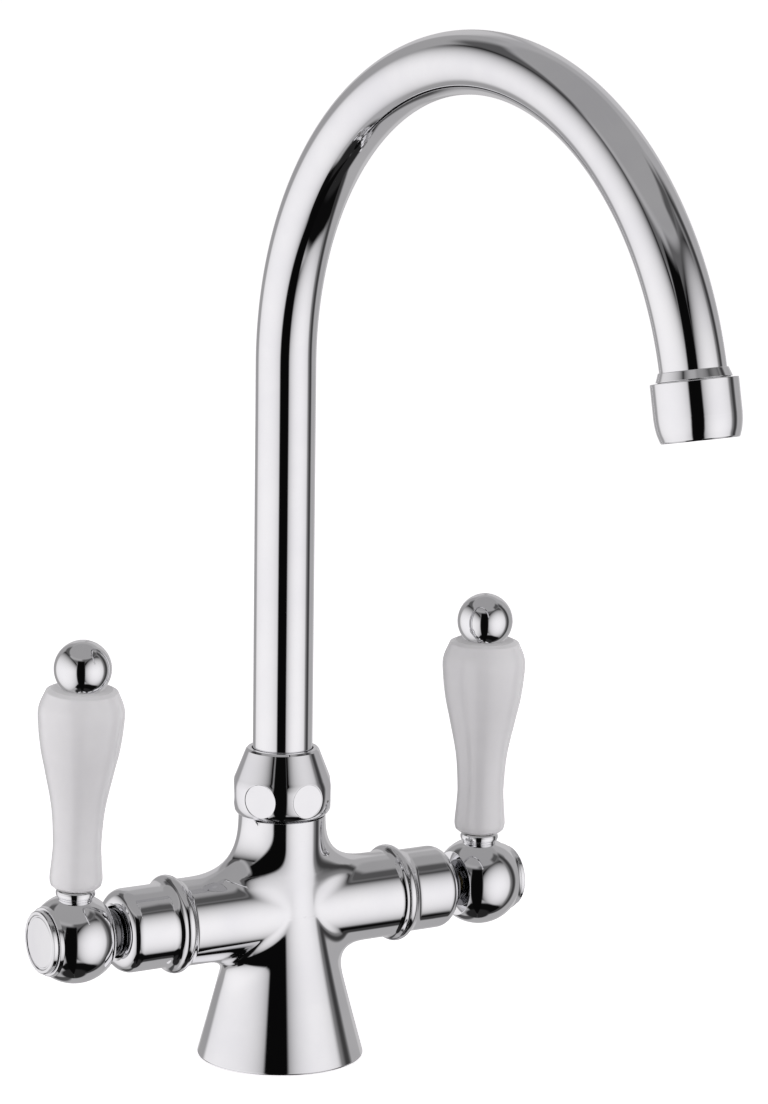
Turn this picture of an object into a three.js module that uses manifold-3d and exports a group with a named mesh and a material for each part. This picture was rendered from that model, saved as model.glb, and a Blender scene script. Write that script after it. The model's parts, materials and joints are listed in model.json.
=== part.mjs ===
// A deck-mounted kitchen faucet with two lever handles and a swan-neck spout that swivels.
// Millimetres. +Z is up, +X runs along the right-hand arm and the spout leans out towards -Y.
// The origin is the middle of the base, on the worktop.
import * as THREE from 'three';
import { mergeVertices } from 'three/addons/utils/BufferGeometryUtils.js';
import Module from 'manifold-3d';

const wasm = await Module();
wasm.setup();

// Driving dimensions of the cast body.
const armHeight = 55.6;          // height of the two arms' common axis
const castRadius = 16.2;         // neck and arms share one outer radius
const baseRadius = 30.9;         // outer radius where the foot meets the worktop
const footBend = 2.8;            // softness of the bend between column and foot
const baseLift = 0.4;            // the gasket holds the metal rim this far off the worktop
const neckTop = 91.5;            // shoulder under the spout nut
const spigotRadius = 13.6;       // threaded part that the spout nut screws onto
const spigotTop = 102;
const socketRadius = 10.5;       // bore that the spout turns in
const socketFloor = 66;
const upperFillet = 18;          // rounding between neck and arms
const lowerFillet = 8;           // rounding between arms and foot
const armEnd = 46.4;             // outer face of each arm, from the centre
const beadRadius = 18.1;         // thin bead that ends each arm
const beadWidth = 4.4;
const valveBoreRadius = 11.5;
const valveBoreFloor = 20;
const valvePocketRadius = 5.5;
const valvePocketFloor = 15;

// The hollow foot and its gasket.
const recessRadius = 27.5;
const recessTop = 3.1;
const hollowTop = 31;
const hollowRadiusLow = 24;
const hollowRadiusHigh = 17.2;
const gasketRadius = 27.2;
const gasketThickness = 2.8;
const tailWayRadius = 19.5;      // outer edge of the two ways for the supply tails
const tailWayInner = 6;          // half width of the bar between them
const studOffset = -12;          // the fixing stud sits in front of the tails
const studRadius = 4.2;
const inletX = 10.5;             // supply tails screw in here
const inletY = 2;
const inletRadius = 4.6;
const passageRadius = 2.8;

// Spout: one tube, straight and then bent to a single radius.
const tubeRadius = 11;
const tubeBore = 9.8;
const tubeFoot = 104.6;
const bendStart = 259.4;         // height where the bend begins
const bendRadius = 117.1;
const bendAngle = THREE.MathUtils.degToRad(168.4);
const spoutSwing = THREE.MathUtils.degToRad(4.2);   // parked a little towards the right

// Spout nut and the pieces inside it.
const nutFoot = 91.9;
const nutTop = 116.8;
const nutLip = 106.2;
const nutBore = 13.9;
const nutLipBore = 11.35;
const nutRounding = 24;
const flatCount = 6;
const flatDepth = 17.5;          // distance of each flat from the axis
const flatTurn = THREE.MathUtils.degToRad(2);

// Valves along each arm, measured from the centre of the body.
const fixedDiscFoot = 22.8;
const movingDiscFoot = 26.1;
const discRadius = 7;
const discThickness = 3;
const discOpening = THREE.MathUtils.degToRad(38);   // half the angle of each port in a disc
const stemRadius = 3.9;
const stemSealPlace = 53.3;
const housingEnd = 73.3;
const clipFoot = 73.65;
const clipThickness = 0.8;
const clipOpening = THREE.MathUtils.degToRad(150);  // half the angle that the clip covers

// Levers and their hubs, measured from the centre of the body.
const hubCentre = 86.5;
const hubRadius = 16.5;
const hubInnerFlat = hubCentre - 11.2;
const hubOuterFlat = hubCentre + 10.4;
const hubFace = hubCentre + 12;
const capFoot = hubCentre + 8.8;
const capFace = hubCentre + 14.2;
const capRadius = 11.5;
const capStem = 8.9;
const rightLean = THREE.MathUtils.degToRad(1.1);    // closed levers stand a little forward
const leftLean = THREE.MathUtils.degToRad(3.8);
const hubTopFlat = 15;           // height of the lever's seat above the hub's centre
const ceramicFoot = 19.4;
const ceramicTop = 93.4;
const finialRadius = 10.4;
const finialCentre = 100.7;
const finialSeat = 93.7;
const rodRadius = 2.9;
const rodHole = 3.3;
const rodFoot = 7.6;
const rodTop = 103.7;

// Aerator, measured along the outlet's own axis from the end of the tube.
const ferruleLength = 3.3;
const housingRadius = 14.5;
const housingLength = 19.5;
const housingStraight = 11.5;
const housingMouth = 12.8;
const outletRadius = 10.8;
const insertRadius = 11.4;
const insertFoot = 10.3;
const insertHoles = 6;

// How finely round shapes are faceted.
const bigRound = 32;
const midRound = 20;
const smallRound = 12;
const quarterSteps = 8;
const filletSteps = 4;
const footSteps = 4;
const bendSteps = 28;
const sealFacets = 6;

const chrome = new THREE.MeshStandardMaterial({ color: 0xd4d6d9, roughness: 0.06, metalness: 1 });
const brass = new THREE.MeshStandardMaterial({ color: 0xc8a24e, roughness: 0.35, metalness: 1 });
const steel = new THREE.MeshStandardMaterial({ color: 0x8f9092, roughness: 0.3, metalness: 1 });
const ceramic = new THREE.MeshStandardMaterial({ color: 0xf1f0ec, roughness: 0.12, metalness: 0 });
const valveCeramic = new THREE.MeshStandardMaterial({ color: 0xe6e4df, roughness: 0.4, metalness: 0 });
const rubber = new THREE.MeshStandardMaterial({ color: 0x1b1b1c, roughness: 0.75, metalness: 0 });
const nylon = new THREE.MeshStandardMaterial({ color: 0xe9e7e0, roughness: 0.5, metalness: 0 });

// ---- helpers ----

const grid = 1e-4;               // corners nearer than this are one corner

// Merges shared corners, drops faces that have collapsed to a line and turns the faces outwards.
function closeUp(source) {
  const bare = source.clone();
  bare.deleteAttribute('normal');
  bare.deleteAttribute('uv');
  const corners = bare.attributes.position.array;
  for (let i = 0; i < corners.length; i += 1) corners[i] = Math.round(corners[i] / grid) * grid;
  const merged = mergeVertices(bare, grid / 2);
  const points = merged.attributes.position;
  const kept = [];
  let volume = 0;
  const [a, b, c] = [new THREE.Vector3(), new THREE.Vector3(), new THREE.Vector3()];
  for (let i = 0; i < merged.index.count; i += 3) {
    const [p, q, r] = [0, 1, 2].map((k) => merged.index.getX(i + k));
    if (p === q || q === r || r === p) continue;
    kept.push(p, q, r);
    a.fromBufferAttribute(points, p);
    b.fromBufferAttribute(points, q);
    c.fromBufferAttribute(points, r);
    volume += a.dot(b.cross(c));
  }
  merged.setIndex(volume < 0 ? kept.reverse() : kept);
  return merged;
}

function toSolid(geometry) {
  const closed = closeUp(geometry);
  const mesh = new wasm.Mesh({
    numProp: 3,
    vertProperties: new Float32Array(closed.attributes.position.array),
    triVerts: new Uint32Array(closed.index.array)
  });
  return new wasm.Manifold(mesh);
}

function toGeometry(solid) {
  const mesh = solid.getMesh();
  const geometry = new THREE.BufferGeometry();
  geometry.setAttribute('position', new THREE.BufferAttribute(mesh.vertProperties, 3));
  geometry.setIndex(new THREE.BufferAttribute(mesh.triVerts, 1));
  return geometry;
}

// Joins the first shape with the ones to add, then cuts the others out of it.
function carve(base, { add = [], cut = [] }) {
  let solid = toSolid(base);
  for (const shape of add) solid = solid.add(toSolid(shape));
  for (const shape of cut) solid = solid.subtract(toSolid(shape));
  return toGeometry(solid);
}

// A solid turned round +Z from [radius, height] pairs; a profile off the axis closes on itself.
function turned(profile, sides = midRound) {
  const points = profile.map(([radius, height]) => new THREE.Vector2(radius, height));
  if (points[0].x > 0) points.push(points[0].clone());
  return closeUp(new THREE.LatheGeometry(points, sides).rotateX(Math.PI / 2));
}

function turnedRing(inner, outer, low, high, sides = smallRound) {
  return turned([[inner, low], [outer, low], [outer, high], [inner, high]], sides);
}

function turnedDisc(radius, low, high, sides = smallRound) {
  return turned([[0, low], [radius, low], [radius, high], [0, high]], sides);
}

// A ring of round section: a seal lying in its groove.
function sealRing(radius, thickness, height) {
  const section = [];
  for (let i = 0; i < sealFacets; i += 1) {
    const angle = (i / sealFacets) * 2 * Math.PI;
    section.push([radius + thickness * Math.cos(angle), height + thickness * Math.sin(angle)]);
  }
  return turned(section, smallRound);
}

// Points [radius, height] on an arc about a centre on the profile's own plane.
function arc(centreRadius, centreHeight, radius, startDegrees, endDegrees, steps) {
  const points = [];
  for (let i = 0; i <= steps; i += 1) {
    const angle = THREE.MathUtils.degToRad(startDegrees + ((endDegrees - startDegrees) * i) / steps);
    points.push([centreRadius + radius * Math.cos(angle), centreHeight + radius * Math.sin(angle)]);
  }
  return points;
}

// Lays a shape made round +Z along the arm, so that its height runs out along +X.
function alongArm(geometry) {
  return geometry.rotateY(Math.PI / 2);
}

// A round drill between two points.
function drill(from, to, radius, sides = smallRound) {
  const start = new THREE.Vector3(...from);
  const way = new THREE.Vector3(...to).sub(start);
  const turn = new THREE.Quaternion().setFromUnitVectors(
    new THREE.Vector3(0, 1, 0),
    way.clone().normalize()
  );
  const geometry = new THREE.CylinderGeometry(radius, radius, way.length(), sides);
  geometry.applyQuaternion(turn);
  const middle = start.addScaledVector(way, 0.5);
  return geometry.translate(middle.x, middle.y, middle.z);
}

function piece(name, geometry, material) {
  const mesh = new THREE.Mesh(geometry, material);
  mesh.name = name;
  return mesh;
}

// ---- the cast body ----

// Radius of the upright column: a plain neck that bends softly into the conical foot.
function columnRadius(height) {
  const bend = (drop) => Math.hypot(drop, footBend) - footBend;
  const share = bend(Math.max(0, armHeight - height)) / bend(armHeight);
  return castRadius + (baseRadius - castRadius) * share;
}

// One line of the skin, from the top or the bottom of the column, round the fillet and out along
// an arm. turn is the line's place round the arm, from 0 at its top or bottom to 90 degrees at
// its front. The column's part and the arm's part meet on the two shapes' own intersection.
function skinLine(turn, upwards) {
  const way = upwards ? 1 : -1;
  const outward = Math.max(0, Math.cos(turn));
  const side = castRadius * Math.sin(turn);
  const rise = castRadius * outward;
  const meetRadius = columnRadius(armHeight + way * rise);
  const meetX = Math.sqrt(Math.max(0, meetRadius ** 2 - side ** 2));
  const fillet = (upwards ? upperFillet : lowerFillet) * outward;
  const column = (height, inset = 0) => {
    const scale = (columnRadius(height) - inset) / meetRadius;
    return new THREE.Vector3(meetX * scale, side * scale, height);
  };
  const meet = new THREE.Vector3(meetX, side, armHeight + way * rise);
  const start = column(armHeight + way * (rise + fillet));
  const end = new THREE.Vector3(meetX + fillet, side, meet.z);
  const points = [];
  if (upwards) {
    points.push(column(neckTop));
  } else {
    points.push(column(baseLift, 0.9), column(baseLift + 0.3, 0.3), column(baseLift + 1));
    for (let i = 1; i < footSteps; i += 1) {
      points.push(column(THREE.MathUtils.lerp(baseLift + 1, start.z, i / footSteps)));
    }
  }
  const weight = Math.SQRT1_2;
  for (let i = 0; i <= filletSteps; i += 1) {
    const t = i / filletSteps;
    const [w0, w1, w2] = [(1 - t) ** 2, 2 * weight * t * (1 - t), t ** 2];
    const point = new THREE.Vector3();
    point.addScaledVector(start, w0).addScaledVector(meet, w1).addScaledVector(end, w2);
    points.push(point.divideScalar(w0 + w1 + w2));
  }
  points.push(new THREE.Vector3(armEnd - beadWidth + 0.6, side, meet.z));
  return points;
}

// The cross-shaped skin is eight mirrored patches of such lines, closed by flat ends.
function castSkin() {
  const corners = [];
  const addFace = (a, b, c, flip) => {
    const order = flip ? [a, c, b] : [a, b, c];
    order.forEach((p) => corners.push(p.x, p.y, p.z));
  };
  for (const upwards of [true, false]) {
    const lines = [];
    for (let k = 0; k <= quarterSteps; k += 1) {
      lines.push(skinLine((k / quarterSteps) * (Math.PI / 2), upwards));
    }
    for (const signX of [1, -1]) {
      for (const signY of [1, -1]) {
        const flip = signX * signY * (upwards ? 1 : -1) < 0;
        const mirror = (p) => new THREE.Vector3(p.x * signX, p.y * signY, p.z);
        const columnEnd = new THREE.Vector3(0, 0, lines[0][0].z);
        const armCentre = new THREE.Vector3(signX * lines[0].at(-1).x, 0, armHeight);
        for (let k = 0; k < quarterSteps; k += 1) {
          const here = lines[k].map(mirror);
          const next = lines[k + 1].map(mirror);
          addFace(columnEnd, here[0], next[0], flip);
          for (let j = 0; j + 1 < here.length; j += 1) {
            addFace(here[j], here[j + 1], next[j + 1], flip);
            addFace(here[j], next[j + 1], next[j], flip);
          }
          addFace(armCentre, next.at(-1), here.at(-1), flip);
        }
      }
    }
  }
  const geometry = new THREE.BufferGeometry();
  geometry.setAttribute('position', new THREE.Float32BufferAttribute(corners, 3));
  return geometry;
}

function armBead(sign) {
  const bead = turned([
    [0, armEnd - beadWidth], [castRadius - 0.4, armEnd - beadWidth],
    [castRadius + 0.3, armEnd - 3.8], [beadRadius - 0.5, armEnd - 2.9], [beadRadius, armEnd - 2],
    [beadRadius, armEnd - 1.3], [beadRadius - 0.5, armEnd - 0.5], [beadRadius - 1.2, armEnd],
    [0, armEnd]
  ], bigRound);
  return alongArm(bead).scale(sign, 1, sign).translate(0, 0, armHeight);
}

// Water ways on one side: the valve's bore and pocket, the inlet and the passage to the spout.
function waterWays(sign) {
  const arm = (s, rise = 0) => [sign * s, 0, armHeight + rise];
  return [
    drill(arm(valveBoreFloor), arm(armEnd + 1), valveBoreRadius, midRound),
    drill(arm(valvePocketFloor), arm(valveBoreFloor + 1), valvePocketRadius),
    drill([sign * inletX, inletY, hollowTop - 1], [sign * inletX, inletY, 41], inletRadius),
    drill([sign * inletX, inletY, 40], arm(valvePocketFloor + 2.5, -3), passageRadius, 8),
    drill(arm(30, 8.4), [sign * 5, 0, 70.5], passageRadius, 8)
  ];
}

function mixerBody() {
  const hollow = turned([
    [0, recessTop - 1], [hollowRadiusLow, recessTop - 1], [hollowRadiusLow, recessTop],
    [hollowRadiusHigh, hollowTop], [0, hollowTop]
  ], bigRound);
  return carve(castSkin(), {
    add: [turnedDisc(spigotRadius, neckTop - 6, spigotTop, midRound), armBead(1), armBead(-1)],
    cut: [
      turnedDisc(recessRadius, -1, recessTop, bigRound),
      hollow,
      turnedDisc(socketRadius, socketFloor, spigotTop + 1, midRound),
      drill([0, studOffset, hollowTop - 1], [0, studOffset, hollowTop + 10], studRadius - 0.8),
      ...waterWays(1),
      ...waterWays(-1)
    ]
  });
}

// The gasket is a disc with a D-shaped way for each supply tail and a hole for the fixing stud.
function baseGasket() {
  const outline = new THREE.Shape();
  outline.absarc(0, 0, gasketRadius, 0, 2 * Math.PI);
  const reach = Math.acos(tailWayInner / tailWayRadius);
  for (const middle of [0, Math.PI]) {
    const tailWay = new THREE.Path();
    tailWay.absarc(0, 0, tailWayRadius, middle - reach, middle + reach);
    tailWay.closePath();
    outline.holes.push(tailWay);
  }
  const studHole = new THREE.Path();
  studHole.absarc(0, studOffset, studRadius, 0, 2 * Math.PI);
  outline.holes.push(studHole);
  return closeUp(new THREE.ExtrudeGeometry(outline, {
    depth: gasketThickness, bevelEnabled: false, curveSegments: 10
  }));
}

// ---- the spout and its nut ----

// The nut's band swells, so that each flat cut into it has a round outline.
function spoutNut() {
  const body = turned([
    [nutBore, nutFoot], [15.7, nutFoot], [16.6, 92.4], [17.5, 93.6], [18.2, 95.3], [18.6, 98],
    [18.65, 100.5], [18.45, 103], [17.85, 105], [13.55, 116.1], [12.9, nutTop],
    [nutLipBore, nutTop], [nutLipBore, nutLip], [nutBore, nutLip]
  ], nutRounding);
  const flats = [];
  for (let i = 0; i < flatCount; i += 1) {
    const flat = new THREE.BoxGeometry(20, 4, nutTop - nutFoot);
    flat.translate(0, -flatDepth - 2, (nutTop + nutFoot) / 2);
    flats.push(flat.rotateZ(flatTurn + (i / flatCount) * 2 * Math.PI));
  }
  return carve(body, { cut: flats });
}

// The centre line of the tube: straight up, then one bend over to the outlet.
class SwanNeck extends THREE.Curve {
  getPoint(t, target = new THREE.Vector3()) {
    const straight = bendStart - tubeFoot;
    const along = t * (straight + bendRadius * bendAngle);
    if (along < straight) return target.set(0, 0, tubeFoot + along);
    const angle = (along - straight) / bendRadius;
    return target.set(
      0,
      -bendRadius * (1 - Math.cos(angle)),
      bendStart + bendRadius * Math.sin(angle)
    );
  }
}

function spoutTube() {
  const section = new THREE.Shape();
  section.absarc(0, 0, tubeRadius, 0, 2 * Math.PI);
  const bore = new THREE.Path();
  const boreCorners = [];
  for (let i = 0; i < smallRound; i += 1) {
    const angle = (i / smallRound) * 2 * Math.PI;
    boreCorners.push(new THREE.Vector2(tubeBore * Math.cos(angle), tubeBore * Math.sin(angle)));
  }
  section.holes.push(bore.setFromPoints(boreCorners));
  return closeUp(new THREE.ExtrudeGeometry(section, {
    steps: bendSteps, extrudePath: new SwanNeck(), curveSegments: 10
  }));
}

// The bush turns in the body's socket; its flange is held down by the nut and two seals ride on it.
function spoutBush() {
  const groove = (middle) => [
    [socketRadius - 0.3, middle - 1.6], [8.6, middle - 1.6],
    [8.6, middle + 1.6], [socketRadius - 0.3, middle + 1.6]
  ];
  return turned([
    [7.2, 70], [socketRadius - 0.3, 70], ...groove(77.6), ...groove(87.6),
    [socketRadius - 0.3, spigotTop + 0.3], [13.2, spigotTop + 0.3], [13.2, 104.3],
    [tubeBore - 0.3, 104.3], [tubeBore - 0.3, 116], [7.2, 116]
  ], smallRound);
}

function spoutGroup() {
  const group = new THREE.Group();
  group.rotation.z = spoutSwing;
  group.add(
    piece('spout_tube', spoutTube(), chrome),
    piece('spout_bush', spoutBush(), brass),
    piece('spout_seal_lower', sealRing(9.55, 0.75, 77.6), rubber),
    piece('spout_seal_upper', sealRing(9.55, 0.75, 87.6), rubber),
    outletGroup()
  );
  return group;
}

// ---- the outlet ----

function outletGroup() {
  const ferrule = turned([
    [tubeRadius + 0.3, -ferruleLength], [tubeRadius + 0.5, -ferruleLength], [12.5, -0.4],
    [12.5, -0.3], [11.9, -0.3], [11.9, 7.5], [9.3, 7.5], [9.3, 0.3], [tubeRadius + 0.3, 0.3]
  ]);
  const housing = turned([
    [12.3, 0], [housingRadius - 0.3, 0], [housingRadius, 0.3], [housingRadius, housingStraight],
    [14.25, 14], [13.8, 16.6], [housingMouth + 0.25, 19], [housingMouth - 0.1, housingLength],
    [outletRadius, housingLength], [outletRadius, 18.9], [11.7, 18.9], [11.7, 8.1], [12.3, 8.1]
  ]);
  const insert = new THREE.Shape();
  insert.absarc(0, 0, insertRadius, 0, 2 * Math.PI);
  const holePlaces = [[0, 0]];
  for (let i = 0; i < insertHoles; i += 1) {
    const angle = (i / insertHoles) * 2 * Math.PI;
    holePlaces.push([6.4 * Math.cos(angle), 6.4 * Math.sin(angle)]);
  }
  for (const [x, y] of holePlaces) {
    const hole = new THREE.Path();
    hole.absarc(x, y, 2.3, 0, 2 * Math.PI);
    insert.holes.push(hole);
  }
  const insertShape = new THREE.ExtrudeGeometry(insert, {
    depth: 8.2, bevelEnabled: false, curveSegments: 3
  });
  const group = new THREE.Group();
  group.position.copy(new SwanNeck().getPoint(1));
  group.rotation.x = bendAngle;
  group.add(
    piece('spout_ferrule', ferrule, chrome),
    piece('aerator_housing', housing, chrome),
    piece('aerator_washer', turnedRing(9.2, insertRadius, 8.3, insertFoot - 0.3), rubber),
    piece('aerator_insert', closeUp(insertShape.translate(0, 0, insertFoot)), nylon)
  );
  return group;
}

// ---- the valve in each arm ----

function valveHousing() {
  const barrel = turned([
    [7.3, 22.5], [9, 22.5], [9, 36], [11.2, 36], [11.2, 48], [9.9, 48], [9.9, 60], [8.75, 60],
    [8.75, 69.4], [8.1, 69.7], [8.1, 70.5], [8.75, 70.8], [8.75, 71.4], [8.1, 71.7], [8.1, 72.3],
    [8.75, 72.6], [8.75, 73], [8.4, housingEnd], [4.3, housingEnd], [4.3, 36], [7.3, 36]
  ], 16);
  const hexagon = turnedRing(9, 12.6, armEnd + 0.3, 51.5, 6);
  const window = new THREE.BoxGeometry(9, 24, 4).translate(0, 0, 31.8);
  return carve(barrel, { add: [hexagon], cut: [window] });
}

// A ceramic valve disc: two opposite openings that line up, or don't, with the other disc's.
function valveDisc(low, turn) {
  const outline = new THREE.Shape();
  outline.absarc(0, 0, discRadius, 0, 2 * Math.PI);
  for (const middle of [turn, turn + Math.PI]) {
    const port = new THREE.Path();
    port.absarc(0, 0, 5.4, middle - discOpening, middle + discOpening);
    port.absarc(0, 0, 1.6, middle + discOpening, middle - discOpening, true);
    port.closePath();
    outline.holes.push(port);
  }
  const disc = new THREE.ExtrudeGeometry(outline, {
    depth: discThickness, bevelEnabled: false, curveSegments: 4
  });
  return closeUp(disc.translate(0, 0, low));
}

function shroud() {
  return turned([
    [12.9, armEnd + 0.35], ...arc(16.7, 48.4, 1.65, -80, 80, 4), [15.9, 51.3], [15.55, 52.8],
    [15.45, 54.6], ...arc(9.95, 65, 5.5, 0, 75, 3), [10.7, 70.6], [9.6, 70.2], [9.6, 68.6],
    [13.2, 63.8], [13.2, armEnd + 1.2]
  ]);
}

function spindle() {
  const foot = movingDiscFoot + discThickness + 0.3;
  const [sealLow, sealHigh] = [stemSealPlace - 1.5, stemSealPlace + 1.5];
  const [clipLow, clipHigh] = [clipFoot - 0.25, clipFoot + clipThickness + 0.25];
  const [screwFoot, tip] = [hubCentre - 7, hubCentre + 2];
  return turned([
    [0, foot], [discRadius, foot], [discRadius, foot + 3], [stemRadius, foot + 3],
    [stemRadius, sealLow], [2.6, sealLow], [2.6, sealHigh], [stemRadius, sealHigh],
    [stemRadius, clipLow], [3.2, clipLow], [3.2, clipHigh], [stemRadius, clipHigh],
    [stemRadius, tip], [2.4, tip], [2.4, screwFoot], [0, screwFoot]
  ], smallRound);
}

// A spring clip: a flat ring open on one side, snapped into the spindle's groove.
function spindleClip() {
  const outline = new THREE.Shape();
  outline.absarc(0, 0, 6, -clipOpening, clipOpening);
  outline.absarc(0, 0, 3.45, clipOpening, -clipOpening, true);
  outline.closePath();
  const clip = new THREE.ExtrudeGeometry(outline, {
    depth: clipThickness, bevelEnabled: false, curveSegments: 5
  });
  return closeUp(clip.translate(0, 0, clipFoot));
}

// ---- hub and lever ----

function leverHub() {
  const outerAngle = THREE.MathUtils.radToDeg(Math.asin((hubOuterFlat - hubCentre) / hubRadius));
  const innerAngle = THREE.MathUtils.radToDeg(Math.asin((hubInnerFlat - hubCentre) / hubRadius));
  const ball = turned([
    [0, hubInnerFlat], ...arc(0, hubCentre, hubRadius, innerAngle, outerAngle, 8),
    [12.7, hubOuterFlat + 0.1], [12.5, hubFace - 0.3], [12.2, hubFace], [0, hubFace]
  ]);
  return carve(alongArm(ball), {
    cut: [
      drill([hubCentre, 0, hubTopFlat], [hubCentre, 0, hubTopFlat + 5], hubRadius),
      drill([hubCentre, 0, rodFoot - 0.4], [hubCentre, 0, hubTopFlat + 1], rodHole - 0.1, 8),
      drill([hubInnerFlat - 1, 0, 0], [hubCentre + 2.3, 0, 0], stemRadius + 0.3),
      drill([hubCentre + 2, 0, 0], [hubCentre + 6, 0, 0], 2.4, 8),
      drill([hubCentre + 5.3, 0, 0], [hubFace + 1, 0, 0], capStem + 0.3)
    ]
  });
}

function hubScrew() {
  const [tip, neck, top] = [hubCentre - 6.5, hubCentre + 5.6, hubCentre + 8.4];
  const screw = turned([
    [0, tip], [2.1, tip], [2.1, neck], [3.6, neck], [3.6, top - 0.4], [3.2, top], [0, top]
  ], smallRound);
  const socket = turnedDisc(1.7, neck + 1, top + 1, 6);
  return carve(screw, { cut: [socket] });
}

function indexCap() {
  return turned([
    [0, capFoot], [capStem, capFoot], [capStem, hubFace + 0.3], [capRadius - 0.2, hubFace + 0.3],
    [capRadius, hubFace + 0.6], [capRadius, capFace - 0.4], [capRadius - 0.4, capFace],
    [9.6, capFace], [9.3, capFace - 0.5], [0, capFace - 0.5]
  ]);
}

function leverBaseRing() {
  return turned([
    [rodHole, 15.3], [6.3, 15.3], [6.3, 15.8], [6.9, 16.2], [7.15, 17.1], [7, 18], [6.4, 18.6],
    [rodHole, 18.6]
  ], 16);
}

// The handle swells from a waist near its foot to a shoulder near its top.
function ceramicLever() {
  const outline = new THREE.SplineCurve([
    new THREE.Vector2(9.15, 20.4), new THREE.Vector2(9.55, 23), new THREE.Vector2(9, 30),
    new THREE.Vector2(8.75, 36.5), new THREE.Vector2(9.7, 49), new THREE.Vector2(12.3, 62),
    new THREE.Vector2(14.2, 70.8), new THREE.Vector2(15.3, 79.5), new THREE.Vector2(15.4, 86.2),
    new THREE.Vector2(13, 92.5)
  ]);
  const side = outline.getPoints(12).map((p) => [p.x, p.y]);
  return turned([
    [rodHole, ceramicFoot], [8, ceramicFoot], ...side, [11, ceramicTop], [rodHole, ceramicTop]
  ]);
}

function leverFinial() {
  const seatAngle = THREE.MathUtils.radToDeg(Math.asin((finialSeat - finialCentre) / finialRadius));
  return turned([
    [0, rodTop + 0.3], [rodHole - 0.1, rodTop + 0.3], [rodHole - 0.1, finialSeat],
    ...arc(0, finialCentre, finialRadius, seatAngle, 75, 7), [0, finialCentre + finialRadius]
  ], 16);
}

// One side of the faucet, drawn along +X from the middle of the body. The left-hand side is the
// same parts turned half round, so its lever leans the other way in its own frame.
function sideGroup(side, sign, lean) {
  const name = (part) => `${side}_${part}`;
  const group = new THREE.Group();
  group.position.z = armHeight;
  group.rotation.z = sign > 0 ? 0 : Math.PI;
  const moving = new THREE.Group();
  moving.rotation.x = sign * lean;
  const upright = new THREE.Group();
  upright.position.x = hubCentre;
  group.add(
    piece(name('valve_housing'), alongArm(valveHousing()), brass),
    piece(name('valve_seal'), alongArm(turnedRing(4.6, 8.8, 20.3, 22.2)), rubber),
    piece(name('fixed_disc'), alongArm(valveDisc(fixedDiscFoot, 0)), valveCeramic),
    piece(name('shroud'), alongArm(shroud()), chrome),
    moving
  );
  moving.add(
    piece(name('moving_disc'), alongArm(valveDisc(movingDiscFoot, Math.PI / 2)), valveCeramic),
    piece(name('spindle'), alongArm(spindle()), brass),
    piece(name('spindle_seal'), alongArm(sealRing(3.4, 0.6, stemSealPlace)), rubber),
    piece(name('spindle_clip'), alongArm(spindleClip()), steel),
    piece(name('lever_hub'), leverHub(), chrome),
    piece(name('hub_screw'), alongArm(hubScrew()), steel),
    piece(name('index_cap'), alongArm(indexCap()), chrome),
    upright
  );
  upright.add(
    piece(name('lever_rod'), turnedDisc(rodRadius, rodFoot, rodTop), brass),
    piece(name('lever_base_ring'), leverBaseRing(), chrome),
    piece(name('lever_washer'), turnedRing(rodHole, 6.1, 18.8, 19.2), nylon),
    piece(name('ceramic_lever'), ceramicLever(), ceramic),
    piece(name('lever_finial'), leverFinial(), chrome)
  );
  return group;
}

const faucet = new THREE.Group();
faucet.add(
  piece('mixer_body', mixerBody(), chrome),
  piece('base_gasket', baseGasket(), rubber),
  piece('spout_nut', spoutNut(), chrome),
  piece('spout_bearing_ring', turnedRing(nutLipBore, nutBore - 0.3, 104.6, 105.9, midRound), nylon),
  sideGroup('right', 1, rightLean),
  sideGroup('left', -1, leftLean),
  spoutGroup()
);

export default faucet;
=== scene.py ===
import json
import math
import bmesh
import bpy
import numpy as np
from mathutils import Matrix


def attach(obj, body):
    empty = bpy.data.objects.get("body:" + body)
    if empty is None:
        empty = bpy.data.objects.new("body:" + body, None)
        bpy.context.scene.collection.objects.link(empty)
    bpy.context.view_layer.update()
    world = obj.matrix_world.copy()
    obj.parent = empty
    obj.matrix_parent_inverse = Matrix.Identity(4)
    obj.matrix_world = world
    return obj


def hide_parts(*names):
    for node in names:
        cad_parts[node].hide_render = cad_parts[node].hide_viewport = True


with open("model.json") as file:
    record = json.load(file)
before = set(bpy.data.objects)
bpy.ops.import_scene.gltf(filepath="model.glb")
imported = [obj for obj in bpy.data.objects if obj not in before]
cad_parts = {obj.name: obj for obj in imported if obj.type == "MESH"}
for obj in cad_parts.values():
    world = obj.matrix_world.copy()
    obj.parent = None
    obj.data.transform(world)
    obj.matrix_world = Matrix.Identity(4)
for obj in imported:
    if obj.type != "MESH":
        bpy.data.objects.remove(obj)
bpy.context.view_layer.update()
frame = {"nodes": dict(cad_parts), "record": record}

print("frame loaded:", len(frame["nodes"]), "solids")

mm = 0.001
weldDistance = 2e-7            # metres: points of a mesh nearer than this are one point
samePlace = 1e-9               # millimetres: the same for points of a line

# Places that several pieces share, in millimetres as in the solids.
armHeight = 55.6
hubCentre = 86.5
spoutSwing = math.radians(4.2)
sides = {"right": 1.0, "left": -1.0}
leverLean = {"right": math.radians(1.1), "left": math.radians(3.8)}

# How corners are softened: the turn in degrees that counts as a corner, the same on lines that
# hold arcs, the largest share of a side that one corner takes, the farthest support point in
# millimetres and as a share of the side, and the points on a corner's curve.
softening = {
    "sharpTurn": 9.0,
    "sharpTurnOnArcs": 14.0,
    "cornerShare": 0.42,
    "support": 0.06,
    "supportShare": 0.06,
    "steps": 5,
}


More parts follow.
